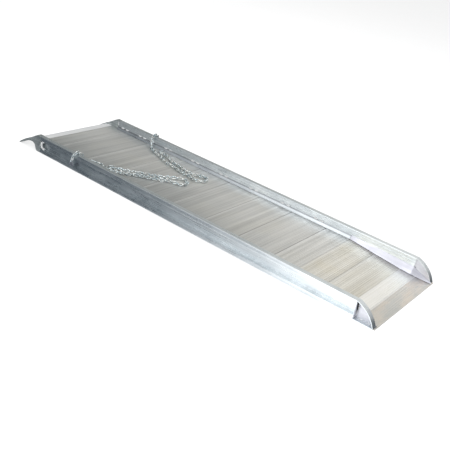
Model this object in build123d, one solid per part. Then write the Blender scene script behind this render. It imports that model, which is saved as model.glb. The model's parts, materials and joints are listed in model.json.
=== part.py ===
from build123d import *
import math
import os

# One-piece walk and loading ramp lying flat on the ground.
# Millimetres. Origin at the middle of the footprint on the ground, +Z up,
# +X towards the low (approach) end, -Y is the left side when walking up the ramp.

# ---- driving dimensions -------------------------------------------------
WIDTH = 864.0            # over both curb rails
HEIGHT = 127.0           # curb rail depth
LENGTH = 3154.0          # lip tip to toe tip
RAIL_DEPTH = 39.0        # flange width of the curb channel
WEB = 4.0                # web thickness of the channel
CORNER = 4.0             # rounding of the two top edges of the rail
DECK_TOP = 56.0          # top of the deck skin above the ground
SKIN = 3.5               # deck skin thickness
RIB = 1.2                # height of one anti-slip rib
RIB_PITCH = 12.0
EDGE_DROP = 1.6          # chamfer along each plank edge
DECK_LOW = 14.0          # underside of the plank feet

# stations along the ramp, measured from the upper end of the curb rails
X_LIP_TIP = -207.0
X_DECK = -46.0
X_RAIL = 35.0
X_JOINT = 104.0          # first full plank joint
PLANK = 290.0
PLANKS = 7               # full planks
X_SLOPE = 2325.0         # where the deck starts to slope down
X_CREASE_1 = 2722.0
X_CREASE_2 = 2834.0
X_RAIL_END = 2802.0
X_FOOT = 2937.0          # foot of the curved end bar
X_TOE = 2947.0
Z_CREASE_1 = 17.0
Z_CREASE_2 = 9.0
Z_TOE = 3.0

# chain
WIRE = 3.5               # radius of the link wire
EYE = 26.0               # inside length of a link
HALF = 8.75              # wire centre to link centreline
PITCH = 24.6             # spacing of the links along the chain

SHIFT = X_LIP_TIP + LENGTH / 2
Y_WEB = WIDTH / 2 - RAIL_DEPTH
SIDES = (("left", -1), ("right", 1))

os.makedirs("parts", exist_ok=True)


def save(name, shapes):
    """Write one node; a list of separate solids becomes one compound."""
    shapes = shapes if isinstance(shapes, (list, tuple)) else [shapes]
    solids = [s for shape in shapes for s in shape.solids()]
    shape = solids[0] if len(solids) == 1 else Compound(children=solids)
    shape.label = name
    export_step(shape, f"parts/{name}.step")


def along_x(points, x0, x1):
    """Prism of a (y, z) outline between two stations."""
    face = make_face(Polyline(*[(0, y, z) for y, z in points], close=True))
    prism = Solid.extrude(face.faces()[0], Vector(x1 - x0, 0, 0))
    return prism.moved(Location((x0 - SHIFT, 0, 0)))


def across(points, y0, y1):
    """Prism of an (x, z) outline, x measured from the upper rail end."""
    face = make_face(Polyline(*[(x - SHIFT, y0, z) for x, z in points], close=True))
    return Solid.extrude(face.faces()[0], Vector(0, y1 - y0, 0))


def side(points, sign):
    """Turn (u, z) into (y, z): u is 0 at the web's deck face and grows outwards."""
    return [(sign * (Y_WEB + u), z) for u, z in points]


# ---- curb rails: channels open outwards, on a hollow lower chord ----------
rail_outline = [
    (0, 0), (39, 0), (39, 5), (37.2, 6.5), (37.2, 20.5), (39, 22), (39, 27), (WEB, 27), (WEB, 122),
    (34.5, 122), (34.5, 95), (39, 95), (39, 99.5), (37, 101.5),
    (37, 112), (39, 114), (39, 127), (0, 127), (0, 103.5), (-1.4, 102.5), (-1.4, 100), (0, 99),
]
chamber_outline = [(4, 4), (34.5, 4), (34.5, 23.5), (4, 23.5)]
for name, sign in SIDES:
    rail = along_x(side(rail_outline, sign), X_RAIL, X_RAIL_END)
    rail = rail.cut(along_x(side(chamber_outline, sign), X_RAIL - 1, X_RAIL_END + 1)).solid()
    top_edges = rail.edges().filter_by(Axis.X).group_by(Axis.Z)[-1]
    save(f"curb_rail_{name}", rail.fillet(CORNER, top_edges))

# ---- inclined side strips between the deck and the rail web --------------
RIB_TOP = DECK_TOP + RIB
STRIP_TOP = 80.0
strip_outline = [
    (0, STRIP_TOP), (-2, STRIP_TOP), (-19, RIB_TOP), (-15, RIB_TOP), (0, 76.5),
]
for name, sign in SIDES:
    save(f"side_strip_{name}", along_x(side(strip_outline, sign), X_RAIL, X_SLOPE - 2))

# the same strip carried down beside the sloping approach, tapering to nothing at the toe
slope_stations = [
    # x, deck height under the strip, top of the strip, how far it leans in
    (X_SLOPE, 56.0, 80.0, 19.0),
    (2540.0, 35.0, 76.0, 21.0),
    (2652.0, 24.2, 71.0, 22.0),
    (X_CREASE_1, 17.3, 68.0, 23.0),
    (2802.0, 12.2, 65.0, 23.0),
    (2856.0, 8.2, 44.0, 18.0),
    (2904.0, 5.6, 25.0, 11.0),
    (2942.0, 3.6, 11.0, 5.0),
]
for name, sign in SIDES:
    faces = []
    for x, low, top, lean in slope_stations:
        low = low + RIB + 0.6
        ring = [(0, top), (-2, top), (-lean, low), (4 - lean, low), (0, top - 4)]
        ring = [(x - SHIFT, y, z) for y, z in side(ring, sign)]
        faces.append(Polyline(*ring, close=True))
    save(f"approach_strip_{name}", Solid.make_loft([Wire(f.edges()) for f in faces], True))

# ---- deck planks: ribbed skin on downstanding legs ------------------------


def plank_outline(x0, z0, x1, z1, foot, legs):
    """Ribbed skin from (x0, z0) to (x1, z1) with `legs` legs standing on `foot`."""
    run = math.hypot(x1 - x0, z1 - z0)
    tx, tz = (x1 - x0) / run, (z1 - z0) / run

    def at(s, h):
        return (x0 + tx * s - tz * h, z0 + tz * s + tx * h)

    count = max(1, int(run / RIB_PITCH))
    pitch = run / count
    top = [at(0, -EDGE_DROP), at(EDGE_DROP, 0)]
    for i in range(count):
        s = (i + 0.5) * pitch
        top += [at(s - 2.4, 0), at(s - 1.4, RIB), at(s + 1.4, RIB), at(s + 2.4, 0)]
    top += [at(run - EDGE_DROP, 0), at(run, -EDGE_DROP)]
    low = []
    for i in range(legs):
        s = run * (i + 0.5) / legs if legs < 3 else 8 + (run - 16) * i / (legs - 1)
        x = at(s, -SKIN)[0]
        slope = (z1 - z0) / (x1 - x0)

        def under(px):
            return z0 + slope * (px - x0) - SKIN / tx

        low += [
            (x - 1.6, under(x - 1.6)), (x - 1.6, foot + 3), (x - 7, foot + 3), (x - 7, foot),
            (x + 7, foot), (x + 7, foot + 3), (x + 1.6, foot + 3), (x + 1.6, under(x + 1.6)),
        ]
    bottom = [at(0, -SKIN)] + low + [at(run, -SKIN)]
    return top + bottom[::-1]


GAP = 0.5
edges = [X_DECK] + [X_JOINT + PLANK * i for i in range(PLANKS + 1)] + [X_SLOPE]
for i, (x0, x1) in enumerate(zip(edges[:-1], edges[1:])):
    outline = plank_outline(x0 + GAP / 2, DECK_TOP, x1 - GAP / 2, DECK_TOP, DECK_LOW, 4)
    save(f"deck_plank_{i + 1}", across(outline, -Y_WEB, Y_WEB))

# ---- approach: two sloping planks and a solid toe --------------------------
x_mid = (X_SLOPE + X_CREASE_1) / 2
z_mid = (DECK_TOP + Z_CREASE_1) / 2
save("approach_plank_1", across(
    plank_outline(X_SLOPE + GAP / 2, DECK_TOP, x_mid - GAP / 2, z_mid, 8, 3), -Y_WEB, Y_WEB))
save("approach_plank_2", across(
    plank_outline(x_mid + GAP / 2, z_mid, X_CREASE_1 - GAP / 2, Z_CREASE_1, 1, 3), -Y_WEB, Y_WEB))


def ribs_between(x0, z0, x1, z1, count):
    """Points of small ribs along a sloping line, ends left out."""
    points = []
    for i in range(count):
        for off, h in ((-2.4, 0), (-1.4, 0.9), (1.4, 0.9), (2.4, 0)):
            t = (i + 0.5) / count + off / (x1 - x0)
            points.append((x0 + (x1 - x0) * t, z0 + (z1 - z0) * t + h))
    return points


toe_outline = (
    [(X_CREASE_1 + GAP / 2, Z_CREASE_1), (X_CREASE_1 + 1, Z_CREASE_1 + 1.6),
     (X_CREASE_1 + 4, Z_CREASE_1 + 1.5), (X_CREASE_1 + 6, Z_CREASE_1 - 0.3)]
    + ribs_between(X_CREASE_1 + 6, Z_CREASE_1 - 0.4, X_CREASE_2 - 3, Z_CREASE_2 + 0.2, 8)
    + [(X_CREASE_2 - 2, Z_CREASE_2 + 1.8), (X_CREASE_2 + 2, Z_CREASE_2 + 1.7)]
    + ribs_between(X_CREASE_2 + 4, Z_CREASE_2 - 0.2, X_TOE - 6, Z_TOE + 0.3, 8)
    + [(X_TOE - 1, Z_TOE), (X_TOE, Z_TOE - 1), (X_TOE, 0), (X_CREASE_2 + 30, 0),
       (X_CREASE_2, 3.5), (X_CREASE_1 + 9, 11.5), (X_CREASE_1 + 9, 1), (X_CREASE_1 + GAP / 2, 1)]
)
toe = across(toe_outline, -Y_WEB, Y_WEB)
ear = [(X_FOOT + 1, 0), (X_TOE, 0), (X_TOE, Z_TOE - 1), (X_TOE - 1, Z_TOE), (X_FOOT + 1, Z_TOE + 0.3)]
for sign in (-1, 1):
    a, b = sorted((sign * (Y_WEB - 1), sign * (Y_WEB + 34)))
    toe = toe.fuse(across(ear, a, b))
save("approach_toe", toe)

# ---- overlap lip at the vehicle end ---------------------------------------
lip_top = [(-95, 57.0), (-115, 51.5), (-141, 41.0), (-176, 21.5), (-206, 2.5)]
lip_low = [(-199, 0.0), (-172, 13.5), (-145, 28.0), (-120, 37.5), (-95, 43.5)]


def curved_prism(top, low, y0, y1):
    """Prism between two smooth curves in the (x, z) plane."""
    a = Spline(*[(x - SHIFT, y0, z) for x, z in top])
    b = Spline(*[(x - SHIFT, y0, z) for x, z in low])
    ends = [Line(a @ 1, (X_LIP_TIP - SHIFT, y0, 0.8)), Line((X_LIP_TIP - SHIFT, y0, 0.8),
            (X_LIP_TIP + 1 - SHIFT, y0, 0)), Line((X_LIP_TIP + 1 - SHIFT, y0, 0), b @ 0)]
    wire = Wire(a.edges() + [e for line in ends for e in line.edges()] + b.edges()
                + Line(b @ 1, a @ 0).edges())
    return Solid.extrude(Face(wire), Vector(0, y1 - y0, 0))


blade = curved_prism(lip_top, lip_low, -Y_WEB, Y_WEB)
root = across([
    (-96, 57.0), (X_DECK - 0.25, 57.0), (X_DECK - 0.25, DECK_LOW), (X_DECK - 6, DECK_LOW),
    (X_DECK - 8, 36), (X_DECK - 16, 43), (-75, 45.5), (-96, 43.3),
], -Y_WEB, Y_WEB)
save("overlap_lip", blade.fuse(root))

# ---- end shoes: close the upper end of each rail and run down beside the lip --
shoe_top = [(-1, HEIGHT), (-26, 112), (-70, 86), (-121, 59.5), (-173, 27.5), (-206.5, 1)]
shoe_low = [(-198, 0), (-172, 13), (-146, 28), (-94, 51), (-62, 57.5), (-38, 53), (-20, 35), (-10, 12), (3, 0)]
pocket_outline = [(29, -1), (29, 118), (12, 118), (-10, 110), (-36, 94), (-30, 58), (-10, 40), (8, 14), (9, -1)]


def shoe_prism(y0, y1):
    """Side plate of the lip: two smooth curves from the rail end to the tip."""
    def at(x, z):
        return (x - SHIFT, y0, z)

    upper = Spline(*[at(x, z) for x, z in shoe_top])
    lower = Spline(*[at(x, z) for x, z in shoe_low])
    lines = [
        Line(at(X_RAIL, 0), at(X_RAIL, HEIGHT)), Line(at(X_RAIL, HEIGHT), upper @ 0),
        Line(upper @ 1, at(-205.5, 0)), Line(at(-205.5, 0), lower @ 0), Line(lower @ 1, at(X_RAIL, 0)),
    ]
    wire = Wire(upper.edges() + lower.edges() + [e for line in lines for e in line.edges()])
    return Solid.extrude(Face(wire), Vector(0, y1 - y0, 0))


for name, sign in SIDES:
    lo, hi = sorted((sign * (Y_WEB + 0.05), sign * (WIDTH / 2)))
    shoe = shoe_prism(lo, hi)
    lo, hi = sorted((sign * (Y_WEB + 5), sign * (WIDTH / 2 - 6)))
    save(f"end_shoe_{name}", shoe.cut(across(pocket_outline, lo, hi)))

# weld that runs round the end of the channel recess, against the shoe
for name, sign in SIDES:
    lo, hi = sorted((sign * (Y_WEB + 25), sign * (Y_WEB + 34.3)))
    bead = across([
        (X_RAIL, 27.5), (78, 27.5), (82, 30), (74, 37), (58, 39), (48, 45), (44, 60), (44, 72),
        (48, 84), (62, 88), (72, 91), (76, 94), (72, 96.5), (X_RAIL, 96.5),
    ], lo, hi)
    save(f"end_weld_{name}", bead.fillet(2.0, bead.faces().sort_by(Axis.Y)[-1 if sign > 0 else 0].edges()))

# ---- stitch welds: two short beads at each station --------------------------
weld_outline = [(0, STRIP_TOP + 0.05), (-2, STRIP_TOP + 0.05), (-4.2, 82.5), (-3.2, 85.6), (0, 87.5)]
stations = [118.0] + [320.0 + 289.0 * i for i in range(7)]
for name, sign in SIDES:
    beads = []
    for x in stations:
        beads.append(along_x(side(weld_outline, sign), x - 42, x - 10))
        beads.append(along_x(side(weld_outline, sign), x + 10, x + 42))
    save(f"stitch_welds_{name}", beads)

# ---- curved curb ends at the approach ----------------------------------------
bar = 4.5
arc_outer = ThreePointArc((X_RAIL_END, HEIGHT), (X_RAIL_END + 81.9, 82.1), (X_FOOT, 5.2))
arc_inner = ThreePointArc((X_RAIL_END, HEIGHT - bar), (X_RAIL_END + 78.6, 78.8), (X_FOOT - bar, 5.2))
for name, sign in SIDES:
    ring = Wire(arc_outer.edges() + Line(arc_outer @ 1, arc_inner @ 1).edges()
                + arc_inner.edges() + Line(arc_inner @ 0, arc_outer @ 0).edges())
    face = Face(ring).rotate(Axis.X, 90).moved(Location((-SHIFT, sign * WIDTH / 2, 0)))
    save(f"end_arc_bar_{name}", Solid.extrude(face, Vector(0, -sign * RAIL_DEPTH, 0)))

    web = Wire(arc_inner.edges() + Line(arc_inner @ 1, (X_RAIL_END + 5, 5.2)).edges()
               + Line((X_RAIL_END + 5, 5.2), (X_RAIL_END + 5, HEIGHT - bar - 3)).edges()
               + Line((X_RAIL_END + 5, HEIGHT - bar - 3), arc_inner @ 0).edges())
    face = Face(web).rotate(Axis.X, 90).moved(Location((-SHIFT, sign * Y_WEB, 0)))
    plate = Solid.extrude(face, Vector(0, sign * WEB, 0))
    lo, hi = sorted((sign * (Y_WEB - 1), sign * (Y_WEB + WEB + 1)))
    trim = across([(X_RAIL_END - 1, 0), (X_RAIL_END + 5, 0), (X_RAIL_END + 5, 140),
                   (X_RAIL_END - 1, 140)], lo, hi)
    notch = across([(X_RAIL_END, 62), (X_RAIL_END + 13, 62), (X_RAIL_END + 13, 66),
                    (X_RAIL_END + 8, 71), (X_RAIL_END, 71)], lo, hi)
    save(f"gusset_plate_{name}", plate.cut(trim, notch))

    lo, hi = sorted((sign * (Y_WEB + 0.5), sign * (WIDTH / 2 - 0.5)))
    cap = [(X_RAIL_END + 0.2, 5.3), (X_RAIL_END + 4.2, 5.3), (X_RAIL_END + 4.2, 119), (X_RAIL_END + 0.2, 120.5)]
    save(f"channel_end_plate_{name}", across(cap, lo, hi))

    lo, hi = sorted((sign * Y_WEB, sign * WIDTH / 2))
    strip = [(X_RAIL_END + 0.2, 0), (X_FOOT, 0), (X_FOOT, 5), (X_RAIL_END + 0.2, 5)]
    save(f"bottom_strip_{name}", across(strip, lo, hi))

# ---- safety chains ------------------------------------------------------------


def link():
    """One closed link lying in the XY plane along X."""
    half = EYE / 2 + WIRE - HALF
    path = Wire([
        Edge.make_line((-half, HALF, 0), (half, HALF, 0)),
        Edge.make_three_point_arc((half, HALF, 0), (half + HALF, 0, 0), (half, -HALF, 0)),
        Edge.make_line((half, -HALF, 0), (-half, -HALF, 0)),
        Edge.make_three_point_arc((-half, -HALF, 0), (-half - HALF, 0, 0), (-half, HALF, 0)),
    ])
    section = Plane(origin=(-half, HALF, 0), z_dir=(1, 0, 0)) * Circle(WIRE)
    return sweep(section, path).solid()


def lay_link(centre, t, roll, over_rail):
    """One link centred on a point, along t; roll 0 stands on edge, 90 lies flat."""
    if over_rail:
        flat = (Vector(1, 0, 0) - t * t.X).normalized()
    else:
        flat = t.cross(Vector(0, 0, 1)).normalized()
    up = flat.cross(t)
    r = math.radians(roll)
    spread = up * math.cos(r) + flat * math.sin(r)
    return one_link.moved(Plane(origin=centre, x_dir=t, z_dir=t.cross(spread)).location)


def follow(start, heading, route):
    """Nodes one pitch apart along a smooth curve that leaves `start` towards `heading`."""
    a = math.radians(heading)
    lead = start + Vector(math.cos(a), math.sin(a), 0) * PITCH
    curve = Spline(start, lead, *[Vector(x - SHIFT, y, start.Z) for x, y in route])
    steps = int(curve.length)
    nodes = [start]
    for i in range(1, steps + 1):
        point = curve @ (i / steps)
        reach = point - nodes[-1]
        if reach.length >= PITCH:
            nodes.append(nodes[-1] + reach.normalized() * PITCH)
    return nodes


one_link = link()

# hook, in its own frame: x away from the chain, y across, z square to the hook's plane
HOOK_DROOP = 4.4         # degrees; the hook's bow rests on the deck
EYE_RADIUS = 11.5
HOOK_WIRE = 5.0
LATCH_PIVOT = (42.0, -5.5, 0.0)
hook_eye = Solid.make_torus(EYE_RADIUS, 4.5, Plane(origin=(EYE_RADIUS, 0, 0)))
hook_path = Spline(*[
    (21.5, 0, 0), (34, -1.5, 0), (48, -9, 0), (62, -15, 0), (78, -14, 0), (90, -4, 0),
    (93, 9, 0), (84, 20, 0), (70, 22, 0), (61, 19, 0),
])
hook_start = Plane(origin=hook_path @ 0, z_dir=hook_path % 0)
hook_bow = sweep(hook_start * Circle(HOOK_WIRE), hook_path).solid()
hook_nose = Solid.make_sphere(HOOK_WIRE, Plane(origin=hook_path @ 1), -90, 90, 360)
pin_hole = Solid.make_cylinder(2.0, 20, Plane(origin=(LATCH_PIVOT[0], LATCH_PIVOT[1], -10)))
hook_solid = hook_bow.fuse(hook_eye, hook_nose).cut(pin_hole).solid()
latch_pin = Solid.make_cylinder(2.0, 16, Plane(origin=(LATCH_PIVOT[0], LATCH_PIVOT[1], -8)))
ear_points = [(37.5, -9.5), (37.5, -3), (45.5, 3.2), (64.6, 13.4), (65.4, 11.9), (50, 1.0), (46.5, -9.5)]
strip_points = [(45.5, 3.2), (64.6, 13.4), (65.2, 12.3), (46.1, 2.1)]


def flat_plate(points, z0, z1):
    """Plate with the given (x, y) outline between two heights."""
    face = make_face(Polyline(*[(x, y, z0) for x, y in points], close=True))
    return Solid.extrude(face.faces()[0], Vector(0, 0, z1 - z0))


latch_hole = Solid.make_cylinder(2.06, 20, Plane(origin=(LATCH_PIVOT[0], LATCH_PIVOT[1], -10)))
latch_solid = flat_plate(strip_points, -6.3, 6.3).fuse(
    flat_plate(ear_points, 5.3, 6.3), flat_plate(ear_points, -6.3, -5.3)).cut(latch_hole).solid()
TAB = (35.6, 38.9)       # faces of the anchor tab, measured out from the web
FLAT_SPAN = EYE + 2 * WIRE       # between the end wires of a link lying flat
EDGE_SPAN = 2 * PITCH - FLAT_SPAN  # between those wires, through the link on edge
# angles of the links below the horizontal, from the top of the curb outwards and inwards
OUTWARD = [("flat", 33, 5), ("edge", 100, 10), ("flat", 105, 16)]
INWARD = [("flat", 33, -7), ("edge", 55, -16), ("flat", 68, -26), ("edge", 20, -36), ("flat", 5.6, -45)]
TOP_Z = 140.4
STATIC = 5               # links that stay on the rail
routes = {
    "left": {
        "x": 430.0, "slant": 1.8,
        # where the chain lies on the deck: (station, y); out to the bend and back beside itself
        "deck": [(556, -290), (622, -302), (690, -286), (760, -245), (825, -190), (890, -147),
                 (950, -113), (1000, -64), (1044, -36), (1092, -27), (1128, 16), (1109, 64),
                 (1060, 73), (1010, 40), (965, -12), (912, -66), (855, -104), (800, -147),
                 (742, -195), (690, -221), (652, -226)],
    },
    "right": {
        "x": 437.0, "slant": 1.0,
        "deck": [(560, 280), (620, 256), (685, 236), (770, 197), (860, 187), (950, 163),
                 (1035, 158), (1100, 147), (1147, 160), (1167, 199), (1153, 236), (1114, 251), (1070, 239),
                 (1030, 219), (950, 215), (862, 240), (785, 250), (715, 285), (672, 304), (640, 310)],
    },
}


def node_height(roll):
    return RIB_TOP + 0.3 + WIRE + HALF * math.cos(math.radians(roll))


for name, sign in SIDES:
    route = routes[name]

    def toward(angle, slant, out):
        """Unit vector pointing away from the top of the curb, down by angle."""
        a, b = math.radians(angle), math.radians(slant * route["slant"])
        across_rail = sign * out * math.cos(a) * math.cos(b)
        return Vector(-math.sin(b), across_rail, -math.sin(a) * math.cos(b))

    top = Vector(route["x"] - SHIFT, sign * (Y_WEB + RAIL_DEPTH / 2), TOP_Z)
    inward = Vector(0, -sign, 0)
    placed = [(top, inward, 0, True)]
    # outside: wires met going down from the top link to the tab
    wire = top - inward * (EDGE_SPAN / 2)
    for kind, angle, slant in OUTWARD:
        t = toward(angle, slant, 1)
        span = FLAT_SPAN if kind == "flat" else EDGE_SPAN
        placed.insert(0, (wire + t * (span / 2), t * -1, 90 if kind == "flat" else 0, True))
        wire = wire + t * span
    tab_y = sign * (Y_WEB + sum(TAB) / 2)
    hole = Vector(wire.X - math.sin(math.radians(16 * route["slant"])) * PITCH, tab_y, 0)
    drop = math.sqrt(PITCH ** 2 - (hole.X - wire.X) ** 2 - (hole.Y - wire.Y) ** 2)
    hole.Z = wire.Z - drop
    t = (wire - hole).normalized()
    placed.insert(0, (hole + t * (FLAT_SPAN / 2), t, 0, True))
    # inside: wires met going down to the deck
    wire = top + inward * (EDGE_SPAN / 2)
    for kind, angle, slant in INWARD:
        t = toward(angle, slant / route["slant"], -1)
        span = FLAT_SPAN if kind == "flat" else EDGE_SPAN
        placed.append((wire + t * (span / 2), t, 90 if kind == "flat" else 0, True))
        wire = wire + t * span
    # along the deck
    start = wire - t * ((FLAT_SPAN - PITCH) / 2)
    run = follow(start, math.degrees(math.atan2(t.Y, t.X)), route["deck"])
    if (len(placed) + len(run) - 1) % 2 == 0:
        run = run[:-1]
    over, total = len(placed), len(placed) + len(run) - 1
    # the links turn over to lie on two edges, then stand up again for the hook
    turns = [45 * max(0.0, min(1.0, (i - over + 1) / 7, (total - 1 - i) / 4)) for i in range(total)]
    for i in range(1, len(run)):
        k = over + i - 1
        run[i] = Vector(run[i].X, run[i].Y, node_height(min(turns[k], turns[min(k + 1, total - 1)])))
    for i, (p, q) in enumerate(zip(run[:-1], run[1:])):
        k = over + i
        placed.append(((p + q) / 2, (q - p).normalized(), turns[k] + 90 * (k % 2), False))
    links = [lay_link(*item) for item in placed]
    save(f"chain_outer_{name}", links[:STATIC])
    save(f"chain_run_{name}", links[STATIC:])

    # anchor tab standing on the rail's lower lip, with the hole for the first link
    tab = across([(hole.X + SHIFT - 24, 27.05), (hole.X + SHIFT + 24, 27.05),
                  (hole.X + SHIFT + 12, hole.Z), (hole.X + SHIFT - 12, hole.Z)],
                 *sorted((sign * (Y_WEB + TAB[0]), sign * (Y_WEB + TAB[1]))))
    axis = Plane(origin=(hole.X, sign * (Y_WEB + TAB[0]), hole.Z), z_dir=(0, sign, 0))
    tab = tab.fuse(Solid.make_cylinder(11.8, TAB[1] - TAB[0], axis))
    bore = Plane(origin=(hole.X, sign * (Y_WEB + 30), hole.Z), z_dir=(0, sign, 0))
    save(f"chain_tab_{name}", tab.cut(Solid.make_cylinder(7.3, 12, bore)))

    # hook hanging from the last link: eye, curved body, pivot pin and spring latch
    last = (run[-1] - run[-2]).normalized()
    flat_dir = last.cross(Vector(0, 0, 1)).normalized()
    eye_wire = run[-1] - last * 4.4
    droop = math.radians(HOOK_DROOP)
    x_dir = last * math.cos(droop) - Vector(0, 0, 1) * math.sin(droop)
    frame = Plane(origin=eye_wire, x_dir=x_dir, z_dir=flat_dir.cross(x_dir) * -1).location
    save(f"hook_{name}", hook_solid.moved(frame))
    save(f"latch_pin_{name}", latch_pin.moved(frame))
    save(f"hook_latch_{name}", latch_solid.moved(frame))
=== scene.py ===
import json
import math

import bmesh
import bpy
from mathutils import Matrix, Vector


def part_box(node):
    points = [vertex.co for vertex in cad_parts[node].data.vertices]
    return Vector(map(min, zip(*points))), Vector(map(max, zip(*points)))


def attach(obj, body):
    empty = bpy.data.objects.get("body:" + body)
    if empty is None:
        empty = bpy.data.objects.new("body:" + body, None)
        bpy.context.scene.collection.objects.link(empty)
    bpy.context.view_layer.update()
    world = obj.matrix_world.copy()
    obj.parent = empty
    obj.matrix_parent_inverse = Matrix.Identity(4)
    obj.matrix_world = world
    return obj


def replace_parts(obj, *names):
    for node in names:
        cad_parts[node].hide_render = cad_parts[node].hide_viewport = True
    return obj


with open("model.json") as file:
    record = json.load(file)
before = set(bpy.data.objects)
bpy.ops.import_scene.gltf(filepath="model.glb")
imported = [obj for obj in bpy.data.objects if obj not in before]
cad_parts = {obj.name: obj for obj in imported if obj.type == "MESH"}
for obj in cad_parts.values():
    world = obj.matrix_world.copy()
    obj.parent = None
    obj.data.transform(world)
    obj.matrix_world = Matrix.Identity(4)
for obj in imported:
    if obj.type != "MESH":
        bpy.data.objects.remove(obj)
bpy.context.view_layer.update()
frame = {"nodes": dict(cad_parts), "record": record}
NODES = frame["nodes"]
SLOT = {s["node"]: s["material_slot"] for s in frame["record"]["subparts"]}
scene = bpy.context.scene
scene.view_settings.view_transform = "Standard"
scene.view_settings.look = "None"


# ---------------------------------------------------------------- shader helpers
class Graph:
    """A small builder for one node tree."""

    def __init__(self, tree):
        self.tree = tree

    def node(self, kind, **values):
        n = self.tree.nodes.new(kind)
        for key, value in values.items():
            setattr(n, key, value)
        return n

    def put(self, socket, value):
        if isinstance(value, bpy.types.NodeSocket):
            self.tree.links.new(value, socket)
        elif value is not None:
            socket.default_value = value

    def math(self, op, a, b=None, c=None, clamp=False):
        n = self.node("ShaderNodeMath", operation=op, use_clamp=clamp)
        for socket, value in zip(n.inputs, (a, b, c)):
            self.put(socket, value)
        return n.outputs[0]

    def span(self, value, lo, hi, out_lo=0.0, out_hi=1.0, smooth=True):
        n = self.node("ShaderNodeMapRange", interpolation_type="SMOOTHSTEP" if smooth else "LINEAR")
        for socket, v in zip(n.inputs, (value, lo, hi, out_lo, out_hi)):
            self.put(socket, v)
        return n.outputs[0]

    def mix(self, factor, a, b, blend="MIX"):
        n = self.node("ShaderNodeMix", data_type="RGBA", blend_type=blend)
        self.put(n.inputs[0], factor)
        for socket, v in zip((n.inputs[6], n.inputs[7]), (a, b)):
            self.put(socket, v if isinstance(v, bpy.types.NodeSocket) else (*v, 1.0))
        return n.outputs[2]

    def scaled(self, vector, sx, sy, sz):
        n = self.node("ShaderNodeVectorMath", operation="MULTIPLY")
        self.put(n.inputs[0], vector)
        n.inputs[1].default_value = (sx, sy, sz)
        return n.outputs[0]

    def noise(self, vector, scale, detail=3.0, rough=0.55):
        n = self.node("ShaderNodeTexNoise")
        self.put(n.inputs["Vector"], vector)
        n.inputs["Scale"].default_value = scale
        n.inputs["Detail"].default_value = detail
        n.inputs["Roughness"].default_value = rough
        return n.outputs["Fac"]

    def bump(self, height, strength, distance, normal=None):
        n = self.node("ShaderNodeBump")
        n.inputs["Strength"].default_value = strength
        n.inputs["Distance"].default_value = distance
        self.put(n.inputs["Height"], height)
        self.put(n.inputs["Normal"], normal)
        return n.outputs[0]

    def tangent(self, along):
        """Spread of the shine square to the direction the surface was drawn along."""
        geo = self.node("ShaderNodeNewGeometry")
        n = self.node("ShaderNodeVectorMath", operation="CROSS_PRODUCT")
        self.put(n.inputs[0], geo.outputs["Normal"])
        n.inputs[1].default_value = along
        return n.outputs[0]


def material(name):
    m = bpy.data.materials.new(name)
    m.use_nodes = True
    m.node_tree.nodes.clear()
    g = Graph(m.node_tree)
    out = g.node("ShaderNodeOutputMaterial")
    bsdf = g.node("ShaderNodeBsdfPrincipled")
    m.node_tree.links.new(bsdf.outputs[0], out.inputs[0])
    return m, g, bsdf


def drawn_metal(name, dark, light, rough, along, streak=1.0, cloud=1.0, anisotropy=0.7, metallic=1.0,
                seam=None, web=None):
    """Mill-finish extrusion: die lines along one axis, oxide clouds and handling marks.

    seam is the height of an edge with painted shade along it. web is the distance from the middle plane to
    the rails' inner faces, which are darkened towards the chains' end with painted shade.
    """
    m, g, bsdf = material(name)
    co = g.node("ShaderNodeTexCoord").outputs["Object"]
    stretch = [0.012 if a else 1.0 for a in along]
    wide = g.noise(g.scaled(co, *stretch), 70.0, 3.0, 0.6)
    fine = g.noise(g.scaled(co, *[s if s == 1.0 else 0.004 for s in stretch]), 520.0, 2.0, 0.5)
    clouds = g.noise(co, 5.5, 4.0, 0.6)
    smudge = g.noise(g.scaled(co, *[1.0 if s == 1.0 else 0.25 for s in stretch]), 26.0, 4.0, 0.65)
    lines = g.span(wide, 0.36, 0.66)
    hair = g.span(fine, 0.35, 0.68)
    tone = g.math("ADD", g.math("MULTIPLY", lines, 0.45 * streak), g.math("MULTIPLY", hair, 0.25 * streak))
    tone = g.math("ADD", tone, g.math("MULTIPLY", g.span(clouds, 0.3, 0.7), 0.45 * cloud), clamp=True)
    colour = g.mix(tone, dark, light)
    place = g.node("ShaderNodeSeparateXYZ")
    g.put(place.inputs[0], co)
    if web is not None:
        # painted shade: the rails' inner faces drawn darker towards the chains' end, where the light is dim
        inside = g.span(g.math("ABSOLUTE", place.outputs[1]), web + 0.004, web + 0.001)
        inner_shade = g.math("MULTIPLY", inside, g.span(place.outputs[0], -0.6, -1.45))
        colour = g.mix(g.math("MULTIPLY", inner_shade, 0.45), colour, (0.45, 0.47, 0.48), "MULTIPLY")
    # painted shade: a dark band along the top of the strip, where it meets the web
    if seam is not None:
        seam_shade = g.math("MULTIPLY", g.span(place.outputs[2], seam - 0.010, seam - 0.004), 0.60)
        colour = g.mix(seam_shade, colour, (0.16, 0.165, 0.18))
    g.put(bsdf.inputs["Base Color"], colour)
    bsdf.inputs["Metallic"].default_value = metallic
    bsdf.inputs["Anisotropic"].default_value = anisotropy
    g.put(bsdf.inputs["Tangent"], g.tangent(along))
    value = g.math("ADD", g.math("MULTIPLY", g.span(smudge, 0.3, 0.75), 0.10), rough - 0.05)
    value = g.math("ADD", value, g.math("MULTIPLY", hair, 0.06))
    g.put(bsdf.inputs["Roughness"], value)
    rise = g.bump(lines, 0.35, 0.0002)
    g.put(bsdf.inputs["Normal"], g.bump(hair, 0.30, 0.00008, rise))
    return m


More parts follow.
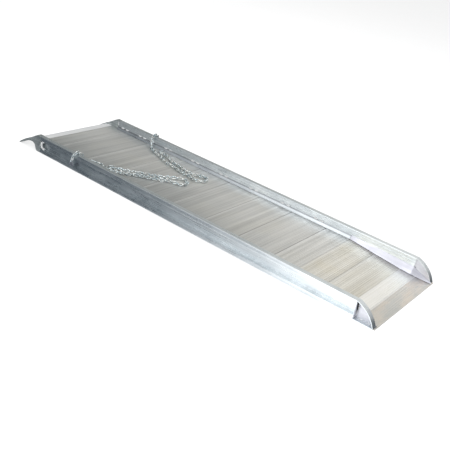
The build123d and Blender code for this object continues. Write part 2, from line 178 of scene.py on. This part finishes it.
X_AXIS, Y_AXIS = (1.0, 0.0, 0.0), (0.0, 1.0, 0.0)
WEB_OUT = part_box("gusset_plate_left")[0].y      # faces of web and gusset on the left side, both negative
WEB_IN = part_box("gusset_plate_left")[1].y
STRIP_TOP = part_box("side_strip_left")[1].z
rail_metal = drawn_metal("rail_aluminium", (0.55, 0.60, 0.63), (0.82, 0.86, 0.88), 0.29, X_AXIS, web=-WEB_IN)
plate_metal = drawn_metal("plate_aluminium", (0.46, 0.47, 0.52), (0.68, 0.69, 0.75), 0.34, X_AXIS,
                          streak=0.5, cloud=1.3, anisotropy=0.3)
gusset_metal = drawn_metal("gusset_aluminium", (0.50, 0.51, 0.56), (0.74, 0.75, 0.80), 0.36, X_AXIS,
                           streak=0.5, cloud=1.3, anisotropy=0.3, metallic=0.6)
shoe_metal = drawn_metal("shoe_aluminium", (0.26, 0.30, 0.31), (0.84, 0.88, 0.87), 0.36, X_AXIS,
                         streak=0.4, cloud=1.6, anisotropy=0.2, metallic=0.93)
# painted light: the lip drawn near white and barely metallic for the light its top catches
lip_painted_light = drawn_metal("lip_aluminium", (0.86, 0.87, 0.88), (0.99, 0.99, 0.98), 0.50, Y_AXIS,
                        streak=0.8, anisotropy=0.3, metallic=0.12)
strip_metal = drawn_metal("strip_aluminium", (0.44, 0.45, 0.50), (0.62, 0.62, 0.68), 0.32, X_AXIS, streak=0.8)
seamed_metal = drawn_metal("seamed_aluminium", (0.52, 0.56, 0.59), (0.78, 0.82, 0.84), 0.29, X_AXIS,
                           seam=STRIP_TOP)


def deck_metal(name, dark, light, warm, first_joint, pitch, joint_grime):
    """Ribbed planks drawn across the ramp: full-width streaks, grime at each joint, foot scuffs."""
    m, g, bsdf = material(name)
    co = g.node("ShaderNodeTexCoord").outputs["Object"]
    info = g.node("ShaderNodeObjectInfo").outputs["Random"]
    band = g.noise(g.scaled(co, 1.0, 0.030, 1.0), 24.0, 3.0, 0.62)
    line = g.noise(g.scaled(co, 1.0, 0.008, 1.0), 95.0, 3.0, 0.6)
    hair = g.noise(g.scaled(co, 1.0, 0.006, 1.0), 620.0, 2.0, 0.5)
    patch = g.noise(co, 3.2, 4.0, 0.6)
    scuff = g.noise(g.scaled(co, 0.12, 1.0, 1.0), 210.0, 4.0, 0.65)
    wear = g.noise(co, 9.0, 5.0, 0.7)
    tone = g.math("MULTIPLY", g.span(band, 0.30, 0.70), 0.40)
    tone = g.math("ADD", tone, g.math("MULTIPLY", g.span(line, 0.36, 0.66), 0.40))
    tone = g.math("ADD", tone, g.math("MULTIPLY", g.span(hair, 0.35, 0.68), 0.12))
    tone = g.math("ADD", tone, g.math("MULTIPLY", info, 0.08), clamp=True)
    colour = g.mix(tone, dark, light)
    colour = g.mix(g.math("MULTIPLY", g.span(patch, 0.45, 0.70), 0.45), colour, warm, "MULTIPLY")
    split = g.node("ShaderNodeSeparateXYZ")
    g.put(split.inputs[0], co)
    # darker towards the left rail, more so towards the chains' end
    darkened = g.math("ADD", split.outputs[1], g.math("MULTIPLY", g.span(patch, 0.3, 0.7), 0.10))
    darkened = g.math("MULTIPLY", g.span(darkened, 0.22, -0.36), g.span(split.outputs[0], 0.2, 1.0, 0.75, 0.12))
    # painted shade: the whole deck drawn darker towards the chains' end, where the light falls off
    darkened = g.math("ADD", darkened, g.span(split.outputs[0], 0.6, -0.5, 0.0, 0.26), clamp=True)
    colour = g.mix(darkened, colour, (0.62, 0.64, 0.65), "MULTIPLY")
    # each joint: a dark line of grime, then the polished edge of the next plank
    along = g.math("SUBTRACT", split.outputs[0], first_joint - 40.0 * pitch)
    along = g.math("MODULO", along, pitch)
    polished = g.math("MULTIPLY", g.span(along, 0.034, 0.012), 0.35)
    colour = g.mix(polished, colour, (0.93, 0.93, 0.92))
    before = g.span(along, pitch - 0.0050, pitch - 0.0020)
    grime = g.math("ADD", g.span(along, 0.0062, 0.0030), before, clamp=True)
    colour = g.mix(g.math("MULTIPLY", grime, joint_grime), colour, (0.20, 0.195, 0.19))
    marks = g.math("MULTIPLY", g.span(scuff, 0.60, 0.72), g.span(wear, 0.48, 0.64))
    colour = g.mix(g.math("MULTIPLY", marks, 0.30), colour, (0.92, 0.92, 0.92))
    g.put(bsdf.inputs["Base Color"], colour)
    bsdf.inputs["Metallic"].default_value = 1.0
    bsdf.inputs["Anisotropic"].default_value = 0.35
    g.put(bsdf.inputs["Tangent"], g.tangent(Y_AXIS))
    value = g.math("ADD", g.math("MULTIPLY", g.span(wear, 0.3, 0.7), 0.10), 0.34)
    value = g.math("SUBTRACT", value, g.math("MULTIPLY", marks, 0.08))
    g.put(bsdf.inputs["Roughness"], value)
    rise = g.bump(line, 0.25, 0.0004)
    g.put(bsdf.inputs["Normal"], g.bump(scuff, 0.15, 0.0001, rise))
    return m


def toe_metal():
    """Solid toe: painted light on its first slope, pale and bright; painted shade towards the tip, darker
    there and browned with dirt.
    """
    m, g, bsdf = material("toe_aluminium")
    co = g.node("ShaderNodeTexCoord").outputs["Object"]
    split = g.node("ShaderNodeSeparateXYZ")
    g.put(split.inputs[0], co)
    line = g.noise(g.scaled(co, 1.0, 0.008, 1.0), 150.0, 3.0, 0.6)
    patch = g.noise(g.scaled(co, 1.0, 0.35, 1.0), 11.0, 4.0, 0.6)
    # painted light and shade: pale on the first slope, darker past the crease towards the tip
    tip = g.span(split.outputs[0], CREASE - 0.002, CREASE + 0.004)
    pale = g.mix(g.span(line, 0.36, 0.66), (0.93, 0.92, 0.88), (1.0, 0.995, 0.97))
    tip_colour = g.mix(g.span(patch, 0.38, 0.62), (0.66, 0.66, 0.64), (0.86, 0.79, 0.71))
    tip_colour = g.mix(g.math("MULTIPLY", g.span(line, 0.36, 0.66), 0.5), tip_colour, (0.88, 0.85, 0.80))
    # darker towards the left side
    darkened = g.math("MULTIPLY", g.span(split.outputs[1], 0.25, -0.30), 0.5)
    tip_colour = g.mix(darkened, tip_colour, (0.66, 0.69, 0.70), "MULTIPLY")
    g.put(bsdf.inputs["Base Color"], g.mix(tip, pale, tip_colour))
    bsdf.inputs["Metallic"].default_value = 1.0
    g.put(bsdf.inputs["Roughness"], g.span(patch, 0.3, 0.7, 0.32, 0.44))
    g.put(bsdf.inputs["Normal"], g.bump(line, 0.25, 0.0003))
    return m


toe_lo, toe_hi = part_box("approach_toe")
CREASE = toe_lo.x + 0.5 * (toe_hi.x - toe_lo.x)
plank_lo, plank_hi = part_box("deck_plank_2")
slope_lo, slope_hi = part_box("approach_plank_1")
PLANK_PITCH = plank_hi.x - plank_lo.x + 0.0005
SLOPE_PITCH = slope_hi.x - slope_lo.x + 0.0005
deck_grey = deck_metal("deck_planks", (0.66, 0.66, 0.645), (0.96, 0.955, 0.935), (0.97, 0.955, 0.91),
                       plank_lo.x, PLANK_PITCH, 0.45)
deck_warm = deck_metal("approach_planks", (0.68, 0.66, 0.60), (0.98, 0.965, 0.91), (0.97, 0.93, 0.84),
                       slope_lo.x, SLOPE_PITCH, 0.15)
deck_toe = toe_metal()

def weld_bead():
    """Bright ripples, near white and barely metallic as painted highlight, dulled here and there by the heat.
    """
    m, g, bsdf = material("weld_bead")
    co = g.node("ShaderNodeTexCoord").outputs["Object"]
    spots = g.noise(co, 420.0, 3.0, 0.6)
    heat = g.noise(co, 60.0, 3.0, 0.6)
    # painted highlight: the beads' pale colours stand in for the shine they catch
    colour = g.mix(g.span(spots, 0.35, 0.68), (0.76, 0.77, 0.78), (0.99, 0.99, 0.98))
    colour = g.mix(g.math("MULTIPLY", g.span(heat, 0.56, 0.74), 0.40), colour, (0.62, 0.60, 0.60))
    g.put(bsdf.inputs["Base Color"], colour)
    bsdf.inputs["Metallic"].default_value = 0.35
    g.put(bsdf.inputs["Roughness"], g.span(spots, 0.3, 0.7, 0.22, 0.40))
    g.put(bsdf.inputs["Normal"], g.bump(spots, 0.35, 0.0004))
    return m


def zinc_plate():
    """Zinc on the chains and hooks: slightly blue in patches, grey in the grain."""
    m, g, bsdf = material("zinc_plate")
    co = g.node("ShaderNodeTexCoord").outputs["Object"]
    grain = g.noise(co, 260.0, 3.0, 0.6)
    pale = g.noise(co, 48.0, 3.0, 0.6)
    colour = g.mix(g.span(pale, 0.35, 0.65), (0.58, 0.68, 0.72), (0.95, 0.95, 0.92))
    colour = g.mix(g.math("MULTIPLY", g.span(grain, 0.50, 0.66), 0.60), colour, (0.26, 0.31, 0.33))
    g.put(bsdf.inputs["Base Color"], colour)
    bsdf.inputs["Metallic"].default_value = 1.0
    g.put(bsdf.inputs["Roughness"], g.span(grain, 0.3, 0.7, 0.12, 0.26))
    g.put(bsdf.inputs["Normal"], g.bump(grain, 0.25, 0.0003))
    return m


def latch_sheet():
    """Brushed sheet of the hooks' sprung latches."""
    m, g, bsdf = material("latch_sheet")
    co = g.node("ShaderNodeTexCoord").outputs["Object"]
    brushed = g.noise(g.scaled(co, 0.1, 1.0, 1.0), 900.0, 2.0, 0.5)
    pale = g.noise(co, 90.0, 3.0, 0.6)
    g.put(bsdf.inputs["Base Color"], g.mix(g.span(pale, 0.35, 0.65), (0.60, 0.62, 0.62), (0.80, 0.79, 0.74)))
    bsdf.inputs["Metallic"].default_value = 1.0
    g.put(bsdf.inputs["Roughness"], g.span(brushed, 0.3, 0.7, 0.20, 0.36))
    g.put(bsdf.inputs["Normal"], g.bump(brushed, 0.2, 0.0001))
    return m


weld_metal = weld_bead()
zinc = zinc_plate()
latch_metal = latch_sheet()


# finish by the start of the part's name; the others go by their slot in the record
FINISHES = {
    "approach_toe": deck_toe, "approach_strip": strip_metal, "approach_plank": deck_warm,
    "deck_plank": deck_grey, "side_strip": seamed_metal, "overlap_lip": lip_painted_light, "end_shoe": shoe_metal,
    "gusset": gusset_metal, "channel_end": gusset_metal, "chain_tab": plate_metal,
}
SLOT_FINISHES = {"zinc": zinc, "latch": latch_metal, "weld": weld_metal}


def finish_for(name):
    for start, finish in FINISHES.items():
        if name.startswith(start):
            return finish
    return SLOT_FINISHES.get(SLOT.get(name), rail_metal)


def soften(obj, width):
    """Small rounded edges on a sheared or sawn part."""
    weld = obj.modifiers.new("join", "WELD")
    weld.merge_threshold = 0.00002
    bevel = obj.modifiers.new("edge", "BEVEL")
    bevel.width = width
    bevel.segments = 2
    bevel.limit_method = "ANGLE"
    bevel.angle_limit = math.radians(30.0)
    bevel.use_clamp_overlap = True
    shade = obj.modifiers.new("normals", "WEIGHTED_NORMAL")
    shade.keep_sharp = True


# edge width by the start of the part's name
EDGES = {
    "curb_rail": 0.0006, "gusset": 0.0005, "channel_end": 0.0005, "end_shoe": 0.0012,
    "bottom_strip": 0.0006, "end_arc_bar": 0.0006, "chain_tab": 0.0004, "side_strip": 0.0006,
    "hook_latch": 0.0002, "latch_pin": 0.0003,
}
for name, obj in NODES.items():
    obj.data.materials.clear()
    obj.data.materials.append(finish_for(name))
    for start, width in EDGES.items():
        if name.startswith(start):
            soften(obj, width)


# ---------------------------------------------------------------- weld beads
RIPPLE = 0.0028                                 # length of one ripple
BOW = 0.00256                                   # how far a ripple bows out along its bead
SIDES = 12                                      # of a bead's cross-section


def add_bead(bm, path, out, width, height, seed):
    """One rippled bead along a path. out is the direction it stands away from the seam."""
    lengths = [0.0]
    for p, q in zip(path[:-1], path[1:]):
        lengths.append(lengths[-1] + (q - p).length)
    total = lengths[-1]
    steps = max(6, int(total / (RIPPLE / 5.0)))
    rings = []
    for i in range(steps + 1):
        s = total * i / steps
        k = max(j for j in range(len(path) - 1) if lengths[j] <= s + 1e-9)
        t = (s - lengths[k]) / max(lengths[k + 1] - lengths[k], 1e-9)
        centre = path[k].lerp(path[k + 1], min(t, 1.0))
        along = (path[k + 1] - path[k]).normalized()
        across = along.cross(out).normalized()
        taper = math.sqrt(max(0.0, 1.0 - max(0.0, 1.0 - min(s, total - s) / (width * 0.55)) ** 2))
        wobble = 1.0 + 0.06 * math.sin(s * 900.0 + seed) + 0.05 * math.sin(s * 331.0 + 2.0 * seed)
        size = max(taper, 0.02) * wobble
        ring = []
        for j in range(SIDES):
            a = 2.0 * math.pi * j / SIDES
            cross, rise = math.cos(a), math.sin(a)
            phase = (s + BOW * (1.0 - cross * cross)) / RIPPLE
            crest = 1.0 + 0.16 * (abs(math.sin(math.pi * phase)) - 0.6) if rise > 0.05 else 1.0
            spread = across * (cross * width / 2 * size) + out * (rise * height * size * crest)
            ring.append(bm.verts.new(centre + spread))
        rings.append(ring)
    for a, b in zip(rings[:-1], rings[1:]):
        for j in range(SIDES):
            k = (j + 1) % SIDES
            bm.faces.new((a[j], a[k], b[k], b[j]))
    bm.faces.new(rings[0][::-1])
    bm.faces.new(rings[-1])


def beads(name, lines):
    """Several beads in one piece; each line is (path, out, width, height)."""
    bm = bmesh.new()
    for i, (path, out, width, height) in enumerate(lines):
        add_bead(bm, path, Vector(out).normalized(), width, height, 1.7 * i)
    bmesh.ops.recalc_face_normals(bm, faces=bm.faces)
    mesh = bpy.data.meshes.new(name)
    bm.to_mesh(mesh)
    bm.free()
    obj = bpy.data.objects.new(name, mesh)
    scene.collection.objects.link(obj)
    mesh.materials.append(weld_metal)
    mesh.polygons.foreach_set("use_smooth", [True] * len(mesh.polygons))
    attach(obj, "ramp")
    return obj


def runs_along_x(name):
    """(start, end) of each separate solid of a node that is a row along X."""
    xs = sorted({round(v.co.x, 5) for v in NODES[name].data.vertices})
    groups, current = [], [xs[0]]
    for x in xs[1:]:
        if len(current) >= 2 or x - current[0] > 0.045:
            groups.append((current[0], current[-1]))
            current = [x]
        else:
            current.append(x)
    groups.append((current[0], current[-1]))
    return groups


def rounded(points):
    """Cut the corners of a path twice, ends kept."""
    for _ in range(2):
        out = [points[0]]
        for p, q in zip(points[:-1], points[1:]):
            out += [p.lerp(q, 0.25), p.lerp(q, 0.75)]
        points = out + [points[-1]]
    return points


def stitch_beads(side, sign):
    """A bead over each short weld between side strip and web."""
    node = f"stitch_welds_{side}"
    lo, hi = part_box(node)
    y = (hi.y if sign > 0 else lo.y) - sign * 0.0018
    z = lo.z + 0.0022
    lines = []
    for x0, x1 in runs_along_x(node):
        path = [Vector((x0, y, z)), Vector(((x0 + x1) / 2, y - sign * 0.0001, z)), Vector((x1, y, z))]
        lines.append((path, (0.0, -sign * 0.6, 0.8), 0.0125, 0.0052))
    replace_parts(beads(f"stitch_beads_{side}", lines), node)


# boxes of the left side's parts; the right side mirrors them
shoe_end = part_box("end_shoe_left")[1].x
lip_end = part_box("overlap_lip")[1]
plate_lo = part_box("gusset_plate_left")[0]
arc_lo, arc_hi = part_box("end_arc_bar_left")
weld_lo, weld_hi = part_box("end_weld_left")
BAR = 0.0045                                    # thickness of the curved bar
ARC_CROWN = (0.0786, 0.0788)                    # middle of the bar's inside: along from its start, and height
ARC_SAG = 0.0035                                # rise of the arc over each half of its chord
ARC_STEPS = 32


def recess_bead(side, sign):
    """C-shaped double bead where the recess of the channel meets the shoe."""
    outward = Vector((0.0, sign, 0.0))
    y = sign * -weld_hi.y
    top, low = weld_hi.z - 0.006, weld_lo.z + 0.006
    back, tip = weld_lo.x + 0.007, weld_hi.x - 0.008
    path = [Vector(p) for p in ((tip, y, top), (back + 0.012, y, top - 0.001), (back, y, top - 0.016),
                                (back, y, (top + low) / 2), (back, y, low + 0.016),
                                (back + 0.014, y, low + 0.001), (tip + 0.004, y, low))]
    inner = [p + outward * 0.004 for p in path]
    lines = [(rounded(path), outward, 0.0135, 0.0075), (rounded(inner), outward, 0.0080, 0.0060)]
    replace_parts(beads(f"recess_bead_{side}", lines), f"end_weld_{side}")


def arc_path(y):
    """Inside of the curved bar, from the rail to its foot, as two shallow arcs."""
    start = Vector((arc_lo.x, 0.0, arc_hi.z - BAR))
    mid = Vector((arc_lo.x + ARC_CROWN[0], 0.0, ARC_CROWN[1]))
    end = Vector((arc_hi.x - BAR, 0.0, arc_lo.z))
    path = []
    for i in range(ARC_STEPS + 1):
        t = i / ARC_STEPS
        point = start.lerp(mid, t * 2) if t < 0.5 else mid.lerp(end, t * 2 - 1)
        bulge = 4.0 * ((t * 2) % 1.0) * (1.0 - (t * 2) % 1.0)
        chord = (mid - start) if t < 0.5 else (end - mid)
        point += Vector((-chord.z, 0.0, chord.x)).normalized() * bulge * ARC_SAG
        point.y = y
        path.append(point)
    return path


def gusset_beads(side, sign):
    """Curved bar to gusset in one run, end plate and bottom strip to gusset in two runs each."""
    outward = Vector((0.0, sign, 0.0))
    y = -sign * WEB_OUT
    lines = [(arc_path(y)[2:-2], outward, 0.0046, 0.0022)]
    for z0, z1 in ((0.012, 0.050), (0.080, 0.108)):
        path = [Vector((plate_lo.x, y, z0)), Vector((plate_lo.x, y, z1))]
        lines.append((path, outward, 0.0040, 0.0020))
    for x0, x1 in ((0.016, 0.046), (0.076, 0.108)):
        path = [Vector((plate_lo.x + x0, y, plate_lo.z)), Vector((plate_lo.x + x1, y, plate_lo.z))]
        lines.append((path, outward, 0.0040, 0.0020))
    beads(f"gusset_beads_{side}", lines)


def shoe_beads(side, sign):
    """Shoe to rail on the deck side, and lip root to shoe."""
    y = -sign * WEB_IN
    seam = [Vector((shoe_end, y, 0.088)), Vector((shoe_end, y, 0.122))]
    root = [Vector((lip_end.x - 0.046, y, lip_end.z)), Vector((lip_end.x - 0.002, y, lip_end.z))]
    lines = [(seam, (0.0, -sign, 0.0), 0.0075, 0.0026), (root, (0.0, -sign, 1.0), 0.0080, 0.0032)]
    beads(f"shoe_beads_{side}", lines)


SIDE_SIGNS = (("left", -1.0), ("right", 1.0))
for side, sign in SIDE_SIGNS:
    stitch_beads(side, sign)
for side, sign in SIDE_SIGNS:
    recess_bead(side, sign)
    gusset_beads(side, sign)
    shoe_beads(side, sign)

# ---------------------------------------------------------------- camera
EYE = (2.6739, -3.8045, 2.1319)
LENS = 57.07
YAW, PITCH_DOWN, ROLL = 2.1522, 0.4518, 0.1932  # radians; yaw is from the X axis
camera = bpy.data.cameras.new("camera")
camera.sensor_width = 36.0
camera.lens = LENS
camera.clip_start, camera.clip_end = 0.05, 200.0
eye = bpy.data.objects.new("camera", camera)
scene.collection.objects.link(eye)
level = math.cos(PITCH_DOWN)
ahead = Vector((level * math.cos(YAW), level * math.sin(YAW), -math.sin(PITCH_DOWN)))
right = ahead.cross(Vector((0, 0, 1))).normalized()
up = right.cross(ahead)
right, up = right * math.cos(ROLL) + up * math.sin(ROLL), up * math.cos(ROLL) - right * math.sin(ROLL)
turn = Matrix((right, up, -ahead)).transposed().to_4x4()
eye.matrix_world = Matrix.Translation(EYE) @ turn
scene.camera = eye

# ---------------------------------------------------------------- studio
def studio_floor():
    """Plain pale ground, which the shine of the metal doesn't see."""
    bm = bmesh.new()
    bmesh.ops.create_grid(bm, x_segments=8, y_segments=8, size=40.0)
    mesh = bpy.data.meshes.new("floor")
    bm.to_mesh(mesh)
    bm.free()
    ground = bpy.data.objects.new("floor", mesh)
    ground.location.z = -0.0003
    scene.collection.objects.link(ground)
    m, g, bsdf = material("studio_floor")
    paper = g.noise(g.node("ShaderNodeTexCoord").outputs["Object"], 3.0, 2.0)
    g.put(bsdf.inputs["Base Color"], g.mix(paper, (0.30, 0.30, 0.30), (0.32, 0.32, 0.32)))
    bsdf.inputs["Roughness"].default_value = 0.9
    bsdf.inputs["Specular IOR Level"].default_value = 0.0
    bsdf.inputs["Emission Color"].default_value = (1.0, 1.0, 1.0, 1.0)
    bsdf.inputs["Emission Strength"].default_value = 0.66
    mesh.materials.append(m)
    ground.visible_glossy = False
    return ground


floor = studio_floor()

# The room is dim at the chains' end and bright past the low end. Each list gives its brightness along X,
# as (direction x, colour): in front low down, in front higher up, and behind.
FRONT = [(-0.80, (0.060, 0.072, 0.084)), (-0.64, (0.105, 0.125, 0.145)), (-0.55, (0.20, 0.222, 0.245)),
         (-0.44, (0.70, 0.72, 0.74)), (-0.34, (1.95, 1.96, 1.98)), (-0.22, (2.60, 2.60, 2.60)),
         (0.00, (0.75, 0.76, 0.77)), (0.80, (0.45, 0.45, 0.45))]
FRONT_HIGH = [(-0.80, (0.06, 0.07, 0.08)), (-0.64, (0.10, 0.115, 0.13)), (-0.55, (0.28, 0.295, 0.31)),
              (-0.44, (1.60, 1.61, 1.62)), (-0.34, (2.80, 2.80, 2.80)), (-0.22, (2.80, 2.80, 2.80)),
              (0.00, (0.75, 0.76, 0.77)), (0.80, (0.40, 0.40, 0.40))]
BACK = [(-0.80, (0.27, 0.282, 0.27)), (-0.64, (0.30, 0.31, 0.295)), (-0.52, (0.39, 0.395, 0.38)),
        (-0.40, (0.72, 0.715, 0.68)), (-0.28, (1.02, 1.00, 0.955)), (0.10, (0.85, 0.84, 0.82)),
        (0.80, (0.55, 0.55, 0.55))]
ROOM = 2.8                                      # brightest the room can be


def sweep(g, dx, stops):
    """Colour ramp over the direction along X. Ramps stop at 1, so it is scaled by ROOM."""
    ramp = g.node("ShaderNodeValToRGB")
    ramp.color_ramp.interpolation = "EASE"
    g.put(ramp.inputs[0], g.span(dx, -1.0, 1.0, smooth=False))
    points = ramp.color_ramp.elements
    for i, (x, colour) in enumerate(stops):
        point = points[i] if i < 2 else points.new(1.0)
        point.position = (x + 1.0) / 2.0
        point.color = (*[c / ROOM for c in colour], 1.0)
    return g.mix(1.0, ramp.outputs[0], (ROOM, ROOM, ROOM), "MULTIPLY")


def studio_room():
    """World of soft grey walls; camera rays see one plain pale colour."""
    world = bpy.data.worlds.new("studio")
    world.use_nodes = True
    world.node_tree.nodes.clear()
    g = Graph(world.node_tree)
    direction = g.node("ShaderNodeSeparateXYZ")
    g.put(direction.inputs[0], g.node("ShaderNodeTexCoord").outputs["Generated"])
    dx, dy, dz = direction.outputs
    front = g.mix(g.span(dz, 0.00, 0.28), sweep(g, dx, FRONT), sweep(g, dx, FRONT_HIGH))
    back = g.mix(g.span(dz, 0.02, 0.20), (0.11, 0.12, 0.13), sweep(g, dx, BACK))
    sides = g.mix(g.span(dy, -0.10, 0.30), front, back)
    sky = g.mix(g.span(dz, 0.50, 0.95), sides, (0.80, 0.81, 0.82))
    seen = g.node("ShaderNodeLightPath").outputs["Is Camera Ray"]
    background = g.node("ShaderNodeBackground")
    g.put(background.inputs[0], g.mix(seen, sky, (0.96, 0.96, 0.96)))
    world.node_tree.links.new(background.outputs[0], g.node("ShaderNodeOutputWorld").inputs[0])
    return world


scene.world = studio_room()


def soft_light(name, where, aim, size, power, only=None):
    """Square area light. only is a collection that it lights and nothing else."""
    lamp = bpy.data.lights.new(name, "AREA")
    lamp.shape = "SQUARE"
    lamp.size = size
    lamp.energy = power
    obj = bpy.data.objects.new(name, lamp)
    scene.collection.objects.link(obj)
    obj.location = where
    obj.rotation_mode = "QUATERNION"
    obj.rotation_quaternion = (Vector(aim) - Vector(where)).to_track_quat("-Z", "Y")
    obj.visible_camera = False
    if only is not None:
        obj.light_linking.receiver_collection = only


only_floor = bpy.data.collections.new("floor_light")
only_floor.objects.link(floor)
bright_work = bpy.data.collections.new("bright_work")
for name, obj in NODES.items():
    if SLOT.get(name) in ("zinc", "latch"):
        bright_work.objects.link(obj)
CHAIN_KEYS = (((-0.9, -2.6, 1.6), 4.5), ((0.9, -0.6, 2.4), 4.0), ((-1.8, 0.9, 1.5), 2.5))
soft_light("floor_wash", (0.6, 0.0, 6.0), (0.4, 0.0, 0.0), 14.0, 900.0, only_floor)
for i, (where, power) in enumerate(CHAIN_KEYS):
    soft_light(f"chain_key_{i}", where, (-0.6, 0.0, 0.08), 0.35, power, bright_work)
soft_light("low_end_key", (2.6, -2.0, 2.2), (1.3, 0.0, 0.1), 1.8, 22.0)
